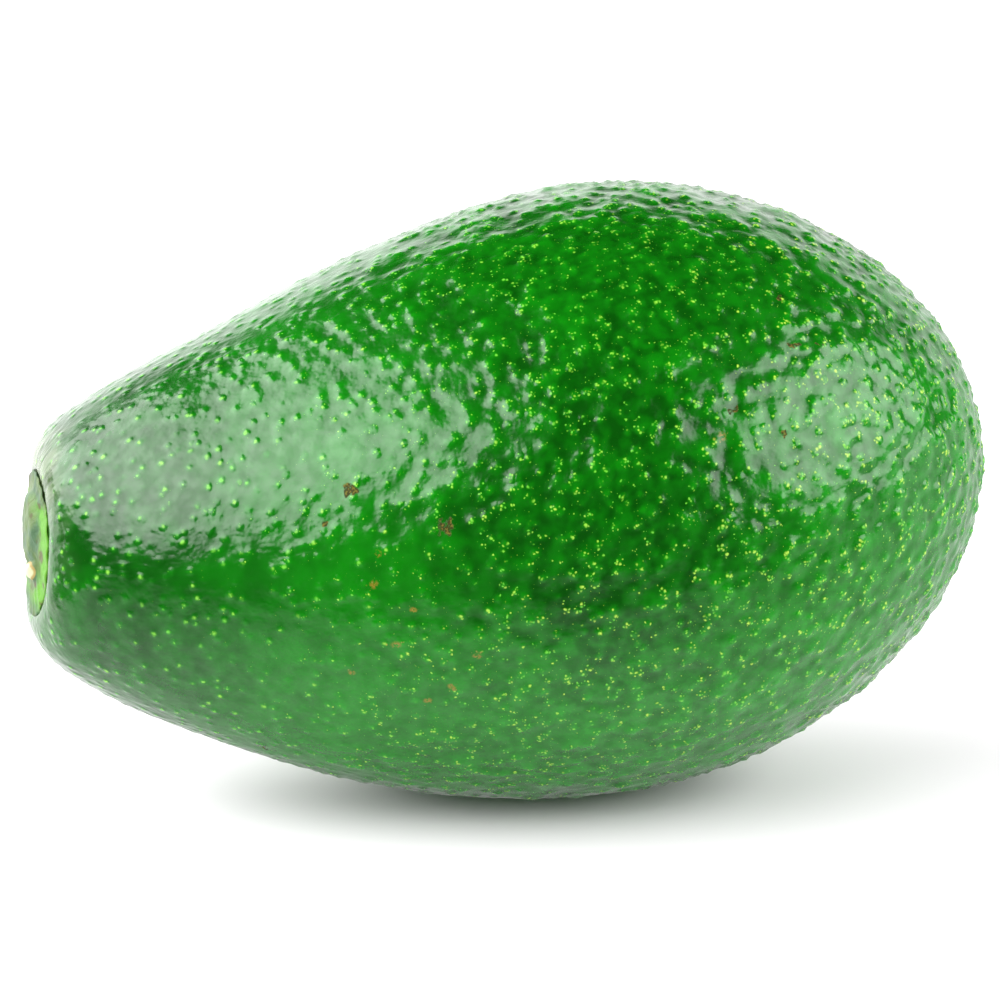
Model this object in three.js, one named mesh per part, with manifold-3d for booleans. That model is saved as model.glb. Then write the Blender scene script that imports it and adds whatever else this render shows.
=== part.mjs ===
// An avocado lying on its side: the whole fruit with its pebbled skin, and the stub of the stem
// in the socket at its narrow end. Millimetres, +Z up. The narrow end points to -X. The origin is
// at the centre of the base of the bounding box, on the surface that the fruit rests on.
import * as THREE from 'three';
import { ImprovedNoise } from 'three/addons/math/ImprovedNoise.js';
import { mergeVertices } from 'three/addons/utils/BufferGeometryUtils.js';
import Module from 'manifold-3d';

// The fruit. A station is a distance from the narrow end towards the blossom end.
const FRUIT_LENGTH = 108.2;
const NECK = { station: 18, radius: 21.6 };
const NECK_END_HANDLE = 11.5; // how blunt the narrow end is
const NECK_SHOULDER = { station: 3, radius: 15.4 }; // control points on either side of the neck
const NECK_WAIST = { station: 25.9, radius: 24.9 };
const BELLY = { station: 66, radius: 34.4 };
const BELLY_RUN_TO_NECK = 21.5; // lengths of the belly's straight-running handles
const BELLY_RUN_TO_TIP = 21.7;
const BLOSSOM_END_HANDLE = 19.6; // how full the blossom end is

// Heights of the axis's control points above its start in the neck: the tip turns up a little.
const AXIS_RISE = { neck: -2.3, belly: 1.2, blossom: 13.8 };

// Pebbled skin
const PEBBLE_CELL = 4.2;
const PEBBLE_HEIGHT = 0.34;
const SWELL_CELL = 19;
const SWELL_HEIGHT = 0.3;
const SURFACE_DETAIL = 18; // divisions of each edge of the icosahedron that is wrapped on the fruit
const OUTLINE_STEPS = 30;

// The flat spot that the fruit rests on, and the height over which the pebbles fade in above it
const REST_DEPTH = 0.35;
const REST_SMOOTH_HEIGHT = 3;
const TOOL_REACH = 6; // how far a cutting solid stands out of the fruit

// The socket at the narrow end. Its depths and the stem's heights are measured from its rim.
const RIM_STATION = 0.85;
const SOCKET_RADIUS = 7.8;
const SOCKET_DEPTH = 1.8;
const SOCKET_FILLET = 0.9;
const GAP = 0.3; // between the stem and the fruit

// The stub of the stem: a low boss in the middle of a flared collar of lobes
const BOSS_RADIUS = 3.4;
const BOSS_HEIGHT = 0.7;
const BOSS_FOOT_HEIGHT = -0.3;
const BOSS_SHIFT = 1.5; // the boss sits above the middle of the collar
const COLLAR_RADIUS = 7.4;
const COLLAR_HEIGHT = 0.4;
const COLLAR_EDGE = 0.3; // radius of the collar's rounded edge
const ROOT_RADIUS = 5;
const LOBES = 5;
const LOBE_NOTCH = 0.13;
const LOBE_TURN = 0.5;
const STEM_SIDES = 45;

const NOISE = new ImprovedNoise();

function point(station, radius) {
  return new THREE.Vector2(station, radius);
}

/** Radius against station, from the centre of the narrow end to the blossom end. */
function fruitOutline() {
  const neck = point(NECK.station, NECK.radius);
  const belly = point(BELLY.station, BELLY.radius);
  const outline = new THREE.CurvePath();
  outline.add(new THREE.CubicBezierCurve(
    point(0, 0),
    point(0, NECK_END_HANDLE),
    point(NECK_SHOULDER.station, NECK_SHOULDER.radius),
    neck,
  ));
  outline.add(new THREE.CubicBezierCurve(
    neck,
    point(NECK_WAIST.station, NECK_WAIST.radius),
    point(BELLY.station - BELLY_RUN_TO_NECK, BELLY.radius),
    belly,
  ));
  outline.add(new THREE.CubicBezierCurve(
    belly,
    point(BELLY.station + BELLY_RUN_TO_TIP, BELLY.radius),
    point(FRUIT_LENGTH, BLOSSOM_END_HANDLE),
    point(FRUIT_LENGTH, 0),
  ));
  return outline;
}

/** The fruit's curved axis: x runs along the fruit and y is its height. */
function fruitAxis() {
  return new THREE.CubicBezierCurve(
    point(0, 0),
    point(FRUIT_LENGTH / 3, AXIS_RISE.neck),
    point(FRUIT_LENGTH * 2 / 3, AXIS_RISE.belly),
    point(FRUIT_LENGTH, AXIS_RISE.blossom),
  );
}

/** A point on the fruit, from its station and radius and the way that it faces round the axis. */
function placeOnFruit(axis, spot, spoke) {
  const fraction = THREE.MathUtils.clamp(spot.x / FRUIT_LENGTH, 0, 1);
  const slope = axis.getTangent(fraction);
  const centre = axis.getPoint(fraction).addScaledVector(slope, spot.x - fraction * FRUIT_LENGTH);
  const rise = spoke.y * spot.y;
  return new THREE.Vector3(centre.x - slope.y * rise, spoke.x * spot.y, centre.y + slope.x * rise);
}

/** Height of the pebbles and broad swells at a point of the smooth fruit. */
function relief(place) {
  const pebble = place.clone().divideScalar(PEBBLE_CELL);
  const swell = place.clone().divideScalar(SWELL_CELL);
  return PEBBLE_HEIGHT * NOISE.noise(pebble.x, pebble.y, pebble.z)
    + SWELL_HEIGHT * NOISE.noise(swell.x, swell.y, swell.z);
}

/** Height of the lowest point of the smooth fruit. */
function lowestHeight(outline, axis) {
  const downward = new THREE.Vector2(0, -1);
  const heights = outline.getPoints(OUTLINE_STEPS).map((spot) => placeOnFruit(axis, spot, downward).z);
  return Math.min(...heights);
}

/** The fruit's skin: an icosahedron's fine triangles wrapped on the outline round the axis. */
function skinGeometry(outline, axis) {
  const skin = new THREE.IcosahedronGeometry(1, SURFACE_DETAIL);
  const places = skin.getAttribute('position');
  const lowest = lowestHeight(outline, axis);
  const direction = new THREE.Vector3();
  for (let i = 0; i < places.count; i += 1) {
    direction.fromBufferAttribute(places, i).normalize();
    const along = Math.acos(THREE.MathUtils.clamp(-direction.x, -1, 1)) / Math.PI;
    const spot = outline.getPoint(along);
    const tangent = outline.getTangent(along);
    const spoke = new THREE.Vector2(direction.y, direction.z).normalize();
    const smooth = placeOnFruit(axis, spot, spoke);
    const fade = THREE.MathUtils.smoothstep(smooth.z - lowest, 0, REST_SMOOTH_HEIGHT);
    spot.addScaledVector(point(-tangent.y, tangent.x), relief(smooth) * fade);
    const place = placeOnFruit(axis, spot, spoke);
    places.setXYZ(i, place.x, place.y, place.z);
  }
  return skin;
}

/** Turns a solid of revolution about Y to stand on the socket's rim, along the axis and outward. */
function standOnRim(geometry, axis) {
  const slope = axis.getTangent(0);
  const outward = new THREE.Vector3(-slope.x, 0, -slope.y);
  const turn = new THREE.Quaternion().setFromUnitVectors(new THREE.Vector3(0, 1, 0), outward);
  return geometry.translate(0, -RIM_STATION, 0).applyQuaternion(turn);
}

/** The solid cut out of the narrow end to make the socket, with a rounded floor. */
function socketTool(axis) {
  const filletCentre = SOCKET_RADIUS - SOCKET_FILLET;
  const profile = new THREE.Path();
  profile.moveTo(0, -SOCKET_DEPTH);
  profile.lineTo(filletCentre, -SOCKET_DEPTH);
  profile.absarc(filletCentre, SOCKET_FILLET - SOCKET_DEPTH, SOCKET_FILLET, -Math.PI / 2, 0);
  profile.lineTo(SOCKET_RADIUS, TOOL_REACH);
  profile.lineTo(0, TOOL_REACH);
  return standOnRim(new THREE.LatheGeometry(profile.getPoints(3), STEM_SIDES), axis);
}

/** The solid cut off the underside, which leaves the flat spot. */
function restTool(skin) {
  skin.computeBoundingBox();
  const size = FRUIT_LENGTH + TOOL_REACH;
  const tool = new THREE.BoxGeometry(size, size, TOOL_REACH);
  const cutHeight = skin.boundingBox.min.z + REST_DEPTH;
  return tool.translate(FRUIT_LENGTH / 2, 0, cutHeight - TOOL_REACH / 2);
}

/** Outline of the stem's stub: radius against height above the socket's rim. */
function stemProfile() {
  const base = GAP - SOCKET_DEPTH;
  const edgeRadius = COLLAR_RADIUS - COLLAR_EDGE;
  const edgeHeight = COLLAR_HEIGHT - COLLAR_EDGE;
  const profile = new THREE.Path();
  profile.moveTo(0, base);
  profile.lineTo(ROOT_RADIUS, base);
  profile.quadraticCurveTo(edgeRadius, base, edgeRadius, edgeHeight - COLLAR_EDGE);
  profile.absarc(edgeRadius, edgeHeight, COLLAR_EDGE, -Math.PI / 2, Math.PI / 2);
  profile.quadraticCurveTo(ROOT_RADIUS, BOSS_FOOT_HEIGHT, BOSS_RADIUS + COLLAR_EDGE, BOSS_FOOT_HEIGHT);
  profile.lineTo(BOSS_RADIUS, BOSS_HEIGHT - COLLAR_EDGE);
  profile.quadraticCurveTo(BOSS_RADIUS, BOSS_HEIGHT, 0, BOSS_HEIGHT);
  return profile.getPoints(3);
}

/** The stem's stub, with the collar notched into lobes and the boss above its middle. */
function stemGeometry(axis) {
  const stem = new THREE.LatheGeometry(stemProfile(), STEM_SIDES);
  const places = stem.getAttribute('position');
  for (let i = 0; i < places.count; i += 1) {
    const radius = Math.hypot(places.getX(i), places.getZ(i));
    const turn = Math.atan2(places.getZ(i), places.getX(i));
    const collar = THREE.MathUtils.smoothstep(radius, BOSS_RADIUS, COLLAR_RADIUS);
    const notch = 1 - Math.abs(Math.cos((LOBES * turn) / 2 + LOBE_TURN));
    const scale = 1 - LOBE_NOTCH * collar * notch ** 2;
    places.setX(i, places.getX(i) * scale);
    places.setZ(i, places.getZ(i) * scale + BOSS_SHIFT * (1 - collar));
  }
  standOnRim(stem, axis);
  return stem;
}

/** A closed geometry with its shared corners merged, as manifold-3d takes it. */
function merged(geometry) {
  geometry.deleteAttribute('normal');
  geometry.deleteAttribute('uv');
  return mergeVertices(geometry, 1e-4);
}

function toManifold(wasm, geometry) {
  const closed = merged(geometry);
  return new wasm.Manifold(new wasm.Mesh({
    numProp: 3,
    vertProperties: new Float32Array(closed.getAttribute('position').array),
    triVerts: new Uint32Array(closed.index.array),
  }));
}

function fromManifold(solid) {
  const mesh = solid.getMesh();
  const geometry = new THREE.BufferGeometry();
  geometry.setAttribute('position', new THREE.BufferAttribute(mesh.vertProperties, 3));
  geometry.setIndex(new THREE.BufferAttribute(mesh.triVerts, 1));
  return geometry;
}

function makeFruit(wasm, axis) {
  const skin = skinGeometry(fruitOutline(), axis);
  const solid = toManifold(wasm, skin)
    .subtract(toManifold(wasm, restTool(skin)))
    .subtract(toManifold(wasm, socketTool(axis)));
  const material = new THREE.MeshStandardMaterial({ color: 0x1f7f14, roughness: 0.3, metalness: 0 });
  const fruit = new THREE.Mesh(fromManifold(solid), material);
  fruit.name = 'fruit';
  return fruit;
}

function makeStemButton(axis) {
  const material = new THREE.MeshStandardMaterial({ color: 0x7a9f60, roughness: 0.6, metalness: 0 });
  const stem = new THREE.Mesh(merged(stemGeometry(axis)), material);
  stem.name = 'stem_button';
  return stem;
}

/** Moves the group so that its bounding box stands centred on the origin. */
function centreOnBase(group) {
  const box = new THREE.Box3().setFromObject(group, true);
  const centre = box.getCenter(new THREE.Vector3());
  group.position.set(-centre.x, -centre.y, -box.min.z);
  group.updateMatrixWorld(true);
}

const wasm = await Module();
wasm.setup();
const axis = fruitAxis();
const avocado = new THREE.Group();
avocado.name = 'avocado';
avocado.add(makeFruit(wasm, axis), makeStemButton(axis));
centreOnBase(avocado);

export default avocado;
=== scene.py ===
"""The looks of a whole avocado lying on its side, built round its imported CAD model.

The fruit's skin and the stub of its stem are modelled again at a fine scale, in the form of the
CAD solids, and take procedural finishes. Lengths are in metres, +Z is up, and the narrow end of
the fruit points to -X.
"""
import logging
import math
from collections.abc import Sequence
from dataclasses import dataclass, field
from enum import Enum
from functools import partial, reduce

import bpy
import numpy as np
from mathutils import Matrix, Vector


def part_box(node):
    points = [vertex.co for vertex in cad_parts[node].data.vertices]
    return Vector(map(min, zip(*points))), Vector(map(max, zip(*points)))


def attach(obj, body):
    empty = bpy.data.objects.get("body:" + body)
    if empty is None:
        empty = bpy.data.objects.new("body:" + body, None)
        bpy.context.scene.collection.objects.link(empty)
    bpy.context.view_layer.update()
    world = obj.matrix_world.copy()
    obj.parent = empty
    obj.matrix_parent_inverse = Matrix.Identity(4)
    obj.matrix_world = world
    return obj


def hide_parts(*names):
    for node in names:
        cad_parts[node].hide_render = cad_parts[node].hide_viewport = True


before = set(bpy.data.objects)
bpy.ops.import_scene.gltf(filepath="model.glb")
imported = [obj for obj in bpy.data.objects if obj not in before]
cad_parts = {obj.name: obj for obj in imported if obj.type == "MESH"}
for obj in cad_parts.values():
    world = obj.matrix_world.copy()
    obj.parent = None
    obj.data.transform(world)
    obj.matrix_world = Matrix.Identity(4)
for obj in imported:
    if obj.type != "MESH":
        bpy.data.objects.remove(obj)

MM = 0.001
# Distance under which two vertices are merged, and the least radius that counts as one.
MERGE = 0.001 * MM
TINY = 0.01 * MM
# Length of a quarter circle's Bezier handles, as a share of its radius.
ROUND = 0.55
LOG = logging.getLogger("avocado")

Point2 = tuple[float, float]
Point3 = tuple[float, float, float]
Colour = tuple[float, float, float, float]
# A smooth change of a value: where it starts and ends, and the results there.
Ramp = tuple[float, float, float, float]
Value = float | bpy.types.NodeSocket
ORIGIN: Point3 = (0.0, 0.0, 0.0)


class Attribute(str, Enum):
    """Names of the attributes that the finishes read."""

    PLACE = "skin_place"
    HEIGHT = "skin_height"


class Seed(Enum):
    """Offsets that keep the random patterns apart, in metres."""

    RAGGED = 0.11
    PEBBLE = 0.37
    WRINKLE_EDGE = 0.53
    LENTICEL = 0.71
    FINE_LENTICEL = 0.97
    GRAIN = 1.31
    TINT = 1.57
    SPECK = 1.83
    CORK = 2.11
    STEM = 2.39
    STREAK = 2.63
    SWELL = 2.89


# ---------------------------------------------------------------------------------------------
# Tools for nodes and meshes
# ---------------------------------------------------------------------------------------------


class Graph:
    """Adds nodes to one node tree and links them. It serves both materials and mesh relief."""

    def __init__(self, tree: bpy.types.NodeTree) -> None:
        """Starts on the node tree that the nodes go in."""
        self.tree = tree

    def node(self, kind: str, **settings: object) -> bpy.types.Node:
        """Adds a node.

        Args:
            kind: the node's type name.
            settings: values for the node's own properties.

        Returns:
            The new node.
        """
        node = self.tree.nodes.new(kind)
        for name, value in settings.items():
            setattr(node, name, value)
        return node

    def feed(self, socket: bpy.types.NodeSocket, value: object) -> None:
        """Links a socket to another, or sets its value.

        Args:
            socket: the input to fill.
            value: an output socket, or a plain value.
        """
        if isinstance(value, bpy.types.NodeSocket):
            self.tree.links.new(value, socket)
        else:
            socket.default_value = value

    def math(self, operation: str, first: Value, second: Value, clamp: bool = False) -> Value:
        """Does one sum on two values.

        Args:
            operation: the sum's type name.
            first: the first value.
            second: the second value.
            clamp: whether the result is held between 0 and 1.

        Returns:
            The result's socket.
        """
        node = self.node("ShaderNodeMath", operation=operation, use_clamp=clamp)
        self.feed(node.inputs[0], first)
        self.feed(node.inputs[1], second)
        return node.outputs[0]

    def times(self, *values: Value) -> Value:
        """Returns the product of some values."""
        return reduce(partial(self.math, "MULTIPLY"), values)

    def plus(self, *values: Value) -> Value:
        """Returns the total of some values."""
        return reduce(partial(self.math, "ADD"), values)

    def most(self, *values: Value) -> Value:
        """Returns the largest of some values."""
        return reduce(partial(self.math, "MAXIMUM"), values)

    def vector(self, operation: str, first: object, second: object, result: str = "Vector") -> Value:
        """Does one sum on two vectors.

        Args:
            operation: the sum's type name.
            first: the first vector.
            second: the second vector.
            result: which output is wanted, the vector or the number.

        Returns:
            The result's socket.
        """
        node = self.node("ShaderNodeVectorMath", operation=operation)
        self.feed(node.inputs[0], first)
        self.feed(node.inputs[1], second)
        return node.outputs[result]

    def scaled(self, vector: Value, factor: Value) -> Value:
        """Multiplies a vector by a number.

        Args:
            vector: the vector.
            factor: the number.

        Returns:
            The result's socket.
        """
        node = self.node("ShaderNodeVectorMath", operation="SCALE")
        self.feed(node.inputs[0], vector)
        self.feed(node.inputs["Scale"], factor)
        return node.outputs[0]

    def offset(self, place: Value, centre: Sequence[float], weights: Point3) -> Value:
        """Returns the way from a centre to a place, with each coordinate times its weight."""
        return self.vector("MULTIPLY", self.vector("SUBTRACT", place, tuple(centre)), weights)

    def distance(self, place: Value, centre: Sequence[float]) -> Value:
        """Returns how far a place is from a centre."""
        return self.vector("DISTANCE", place, tuple(centre), "Value")

    def length(self, vector: Value) -> Value:
        """Returns the length of a vector."""
        return self.vector("LENGTH", vector, ORIGIN, "Value")

    def unit(self, vector: Value) -> Value:
        """Returns the direction of a vector."""
        return self.vector("NORMALIZE", vector, ORIGIN)

    def reach_along(self, place: Value, direction: Sequence[float]) -> Value:
        """Returns how far a place lies in a direction."""
        return self.vector("DOT_PRODUCT", place, tuple(direction), "Value")

    def ramp(self, value: Value, start: Value, end: Value, low: Value = 0.0, high: Value = 1.0) -> Value:
        """Maps a value smoothly, held at both ends.

        Args:
            value: the value to map.
            start: where the result is low.
            end: where the result is high. It may be less than start.
            low: the result at start.
            high: the result at end.

        Returns:
            The mapped value's socket.
        """
        node = self.node("ShaderNodeMapRange", interpolation_type="SMOOTHSTEP")
        for socket, entry in zip(node.inputs, (value, start, end, low, high)):
            self.feed(socket, entry)
        return node.outputs[0]

    def part(self, vector: Value, axis: str) -> Value:
        """Takes one coordinate out of a vector.

        Args:
            vector: the vector.
            axis: the coordinate's name.

        Returns:
            The coordinate's socket.
        """
        node = self.node("ShaderNodeSeparateXYZ")
        self.feed(node.inputs[0], vector)
        return node.outputs[axis]

    def shifted(self, place: Value, seed: Seed) -> Value:
        """Returns a place moved by a seed's offset, so that its pattern is its own."""
        return self.vector("ADD", place, (seed.value, 2 * seed.value, -seed.value))

    def noise(
        self, place: Value, cell: float, seed: Seed, detail: float = 1.0, result: str = "Fac"
    ) -> Value:
        """Soft random values.

        Args:
            place: where to read the pattern.
            cell: the pattern's size, in metres.
            seed: the pattern's offset.
            detail: how many finer layers are added.
            result: which output is wanted, one value or a colour of three.

        Returns:
            A value about 0.5, mostly from 0.3 to 0.7.
        """
        node = self.node("ShaderNodeTexNoise")
        self.feed(node.inputs["Vector"], self.shifted(place, seed))
        node.inputs["Scale"].default_value = 1 / cell
        node.inputs["Detail"].default_value = detail
        return node.outputs[result]

    def jittered(self, place: Value, cell: float, reach: float, seed: Seed) -> Value:
        """Moves a place at random, so that what is drawn with it gets a ragged outline.

        Args:
            place: the place.
            cell: size of the jitter's pattern, in metres.
            reach: how far it moves at most from side to side, in metres.
            seed: the pattern's offset.

        Returns:
            The moved place's socket.
        """
        random = self.noise(place, cell, seed, result="Color")
        centred = self.vector("SUBTRACT", random, (0.5, 0.5, 0.5))
        return self.vector("ADD", place, self.scaled(centred, reach))

    def cells(self, place: Value, cell: float, seed: Seed) -> tuple[Value, Value]:
        """Scattered points.

        Args:
            place: where to read the pattern.
            cell: the points' mean spacing in space, in metres.
            seed: the pattern's offset.

        Returns:
            The distance to the nearest point, in cells, and a random colour for each point.
        """
        node = self.node("ShaderNodeTexVoronoi")
        self.feed(node.inputs["Vector"], self.shifted(place, seed))
        node.inputs["Scale"].default_value = 1 / cell
        return node.outputs["Distance"], node.outputs["Color"]

    def mix(self, factor: Value, first: object, second: object) -> Value:
        """Blends two colours.

        Args:
            factor: the second colour's share.
            first: the first colour.
            second: the second colour.

        Returns:
            The blend's socket.
        """
        node = self.node("ShaderNodeMix", data_type="RGBA")
        self.feed(node.inputs[0], factor)
        self.feed(node.inputs[6], first)
        self.feed(node.inputs[7], second)
        return node.outputs[2]

    def add_bump(self, shader: bpy.types.Node, relief: Value, height: float) -> None:
        """Gives a shader a fine relief.

        Args:
            shader: the shader.
            relief: the relief, where 1 is its full height.
            height: that height, in metres.
        """
        bump = self.node("ShaderNodeBump")
        bump.inputs["Strength"].default_value = 1.0
        bump.inputs["Distance"].default_value = height
        self.feed(bump.inputs["Height"], relief)
        self.feed(shader.inputs["Normal"], bump.outputs[0])


def new_material(name: str) -> tuple[bpy.types.Material, Graph, bpy.types.Node]:
    """Starts a material.

    Args:
        name: its name.

    Returns:
        The material, the graph of its nodes and its shader.
    """
    material = bpy.data.materials.new(name)
    material.use_nodes = True
    return material, Graph(material.node_tree), material.node_tree.nodes["Principled BSDF"]


def only(piece: bpy.types.Object) -> None:
    """Makes one object the only one that is selected, and the active one.

    Args:
        piece: the object.
    """
    bpy.ops.object.select_all(action="DESELECT")
    piece.select_set(True)
    bpy.context.view_layer.objects.active = piece


def apply_modifiers(piece: bpy.types.Object) -> None:
    """Applies an object's modifiers in order.

    Args:
        piece: the object.
    """
    only(piece)
    for modifier in list(piece.modifiers):
        bpy.ops.object.modifier_apply(modifier=modifier.name)


def places_of(piece: bpy.types.Object) -> np.ndarray:
    """Reads the places of a mesh's vertices.

    Args:
        piece: the mesh's object.

    Returns:
        The places, one row each.
    """
    flat = np.empty(len(piece.data.vertices) * 3, dtype=np.float32)
    piece.data.vertices.foreach_get("co", flat)
    return flat.reshape(-1, 3).astype(float)


def set_places(piece: bpy.types.Object, places: np.ndarray) -> None:
    """Moves a mesh's vertices to new places, one row each."""
    piece.data.vertices.foreach_set("co", places.astype(np.float32).ravel())
    piece.data.update()


def smoothstep(values: np.ndarray, start: float, end: float) -> np.ndarray:
    """Returns values mapped smoothly from 0 at start to 1 at end."""
    share = np.clip((values - start) / (end - start), 0.0, 1.0)
    return share * share * (3.0 - 2.0 * share)


@dataclass(frozen=True)
class Arc:
    """One Bezier stretch of an outline, as points of station and radius.

    Attributes:
        start: where it starts.
        leave: the handle at its start.
        arrive: the handle at its end.
        end: where it ends.
        steps: how many straight edges it gets.
    """

    start: Point2
    leave: Point2
    arrive: Point2
    end: Point2
    steps: int


def straight(start: Point2, end: Point2, steps: int) -> Arc:
    """Makes a straight stretch of an outline.

    Args:
        start: where it starts.
        end: where it ends.
        steps: how many straight edges it gets.

    Returns:
        The stretch.
    """
    third = tuple(a + (b - a) / 3 for a, b in zip(start, end))
    two_thirds = tuple(b - (b - a) / 3 for a, b in zip(start, end))
    return Arc(start, third, two_thirds, end, steps)


def spun(name: str, arcs: Sequence[Arc], turns: int) -> bpy.types.Object:
    """Models a solid of revolution about X.

    Args:
        name: the piece's name.
        arcs: its outline, from one pole to the other.
        turns: how many steps go round it.

    Returns:
        The new closed mesh, with its faces outwards.
    """
    stretches = []
    for arc in arcs:
        bpy.ops.object.select_all(action="DESELECT")
        bpy.ops.curve.primitive_bezier_curve_add()
        stretch = bpy.context.object
        first, last = stretch.data.splines[0].bezier_points
        for knot in (first, last):
            knot.handle_left_type = knot.handle_right_type = "FREE"
        for knot, (station, radius) in ((first, arc.start), (last, arc.end)):
            knot.co = knot.handle_left = knot.handle_right = (station, 0.0, radius)
        first.handle_right = (arc.leave[0], 0.0, arc.leave[1])
        last.handle_left = (arc.arrive[0], 0.0, arc.arrive[1])
        stretch.data.splines[0].resolution_u = arc.steps
        only(stretch)
        bpy.ops.object.convert(target="MESH")
        stretches.append(bpy.context.object)
    bpy.ops.object.select_all(action="DESELECT")
    for stretch in stretches:
        stretch.select_set(True)
    bpy.context.view_layer.objects.active = stretches[0]
    bpy.ops.object.join()
    piece = bpy.context.object
    piece.name = piece.data.name = name
    bpy.ops.object.mode_set(mode="EDIT")
    bpy.ops.mesh.select_all(action="SELECT")
    bpy.ops.mesh.remove_doubles(threshold=MERGE)
    bpy.ops.mesh.spin(steps=turns, angle=math.tau, center=(0, 0, 0), axis=(1, 0, 0))
    bpy.ops.mesh.select_all(action="SELECT")
    bpy.ops.mesh.remove_doubles(threshold=MERGE)
    bpy.ops.mesh.normals_make_consistent(inside=False)
    bpy.ops.object.mode_set(mode="OBJECT")
    bpy.ops.object.shade_smooth()
    return piece


# ---------------------------------------------------------------------------------------------
# The form of the fruit
# ---------------------------------------------------------------------------------------------


@dataclass(frozen=True)
class FruitForm:
    """The fruit's outline and bent axis, which both pieces share.

    A station is a distance from the narrow end towards the blossom end.

    Attributes:
        length: station of the blossom end.
        neck: station and radius where the neck meets the shoulder of the narrow end.
        blunt: the handle that makes the narrow end blunt.
        shoulder: the handle before the neck.
        waist: the handle after the neck.
        belly: station and radius of the widest place.
        belly_to_neck: length of the belly's handle towards the neck.
        belly_to_tip: length of the belly's handle towards the blossom end.
        tip_handle: radius of the handle that makes the blossom end full.
        rise: heights of the axis's four control points.
        rim_station: station of the socket's rim.
        rest_depth: how far the skin is pressed in where the fruit rests.
        squareness: how much squarer than round the narrow end is.
        square_stations: stations between which the squareness fades out.
        square_radii: radii between which it fades in, outside the socket.
        recess: how far the narrow end draws back at its two level sides.
        recess_radius: distance from the axis at which it is drawn back in full.
        recess_stations: stations between which the drawing back fades out.
    """

    length: float = 108.2 * MM
    neck: Point2 = (18 * MM, 21.6 * MM)
    blunt: Point2 = (1.0 * MM, 12.4 * MM)
    shoulder: Point2 = (6.94 * MM, 16.98 * MM)
    waist: Point2 = (25.9 * MM, 24.9 * MM)
    belly: Point2 = (66 * MM, 34.4 * MM)
    belly_to_neck: float = 21.5 * MM
    belly_to_tip: float = 21.7 * MM
    tip_handle: float = 19.6 * MM
    rise: tuple[float, float, float, float] = (0.0, -2.3 * MM, 1.2 * MM, 13.8 * MM)
    rim_station: float = 0.85 * MM
    rest_depth: float = 0.35 * MM
    squareness: float = 0.7
    square_stations: Point2 = (1.2 * MM, 7 * MM)
    square_radii: Point2 = (7.6 * MM, 9.2 * MM)
    recess: float = 0.6 * MM
    recess_radius: float = 8.2 * MM
    recess_stations: Point2 = (1.0 * MM, 6.5 * MM)

    def recessed(self, places: np.ndarray) -> np.ndarray:
        """Makes the narrow end squarer outside its socket and draws its level sides back.

        Args:
            places: places of the straight fruit, one row each.

        Returns:
            The new places.
        """
        radius = np.hypot(places[:, 1], places[:, 2])
        power = 2.0 + self.squareness * (1.0 - smoothstep(places[:, 0], *self.square_stations))
        power = 2.0 + (power - 2.0) * smoothstep(radius, *self.square_radii)
        unit = np.abs(places[:, 1:]) / np.maximum(radius, TINY)[:, None]
        # The floor of 0.5 acts only at the poles, where there is no direction to go in.
        spread = np.maximum(unit[:, 0] ** power + unit[:, 1] ** power, 0.5) ** (-1.0 / power)
        places = places * np.column_stack([np.ones_like(spread), spread, spread])
        share = np.clip(np.abs(places[:, 1]) / self.recess_radius, 0.0, 1.0) ** 2
        share = share * (1.0 - smoothstep(places[:, 0], *self.recess_stations))
        return places + np.outer(share, (self.recess, 0.0, 0.0))

    def axis(self, stations: np.ndarray) -> tuple[np.ndarray, np.ndarray]:
        """The bent axis.

        Args:
            stations: distances from the narrow end.

        Returns:
            Places on the axis and its directions there, each as rows of x and z.
        """
        share = np.clip(stations / self.length, 0.0, 1.0)[:, None]
        rest = 1.0 - share
        knots = np.column_stack([np.linspace(0.0, self.length, 4), self.rise])
        edges = np.diff(knots, axis=0)
        place = (
            rest**3 * knots[0]
            + 3 * share * rest**2 * knots[1]
            + 3 * share**2 * rest * knots[2]
            + share**3 * knots[3]
        )
        way = rest**2 * edges[0] + 2 * share * rest * edges[1] + share**2 * edges[2]
        way /= np.linalg.norm(way, axis=1, keepdims=True)
        place += way * (stations[:, None] - share * self.length)
        return place, way

    def bent(self, places: np.ndarray) -> np.ndarray:
        """Moves places on to the bent axis.

        Args:
            places: places of the straight fruit, one row each.

        Returns:
            The new places.
        """
        centre, way = self.axis(places[:, 0])
        height = places[:, 2]
        return np.column_stack([
            centre[:, 0] - way[:, 1] * height,
            places[:, 1],
            centre[:, 1] + way[:, 0] * height,
        ])


# ---------------------------------------------------------------------------------------------
# Skin
# ---------------------------------------------------------------------------------------------


@dataclass(frozen=True)
class Lenticels:
    """Pale dots, scattered over the skin.

    Attributes:
        cell: spacing of the points in space, in metres.
        core: radius of a dot, in metres.
        seed: the pattern's offset.
        sizes: the smallest and the largest dot, as factors on the radius.
    """

    cell: float
    core: float
    seed: Seed
    sizes: Point2 = (0.7, 1.25)

    def dots(self, graph: Graph, place: Value, size: Value = 1.0) -> tuple[Value, Value, Value]:
        """The dots' mask.

        Args:
            graph: the tree to add to.
            place: where to read the pattern.
            size: a factor on the dots' radii.

        Returns:
            A mask, 1 in the middle of a dot, the distance to the nearest point, in cells, and a
            random value for each dot.
        """
        distance, tint = graph.cells(place, self.cell, self.seed)
        spread = graph.ramp(graph.part(tint, "X"), 0.0, 1.0, *self.sizes)
        reach = graph.times(size, spread, self.core / self.cell)
        dot = graph.ramp(distance, reach, 0.0)
        return dot, distance, graph.part(tint, "Y")


COARSE = Lenticels(1.5 * MM, 0.35 * MM, Seed.LENTICEL)
FINE = Lenticels(0.46 * MM, 0.18 * MM, Seed.FINE_LENTICEL)


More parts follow.
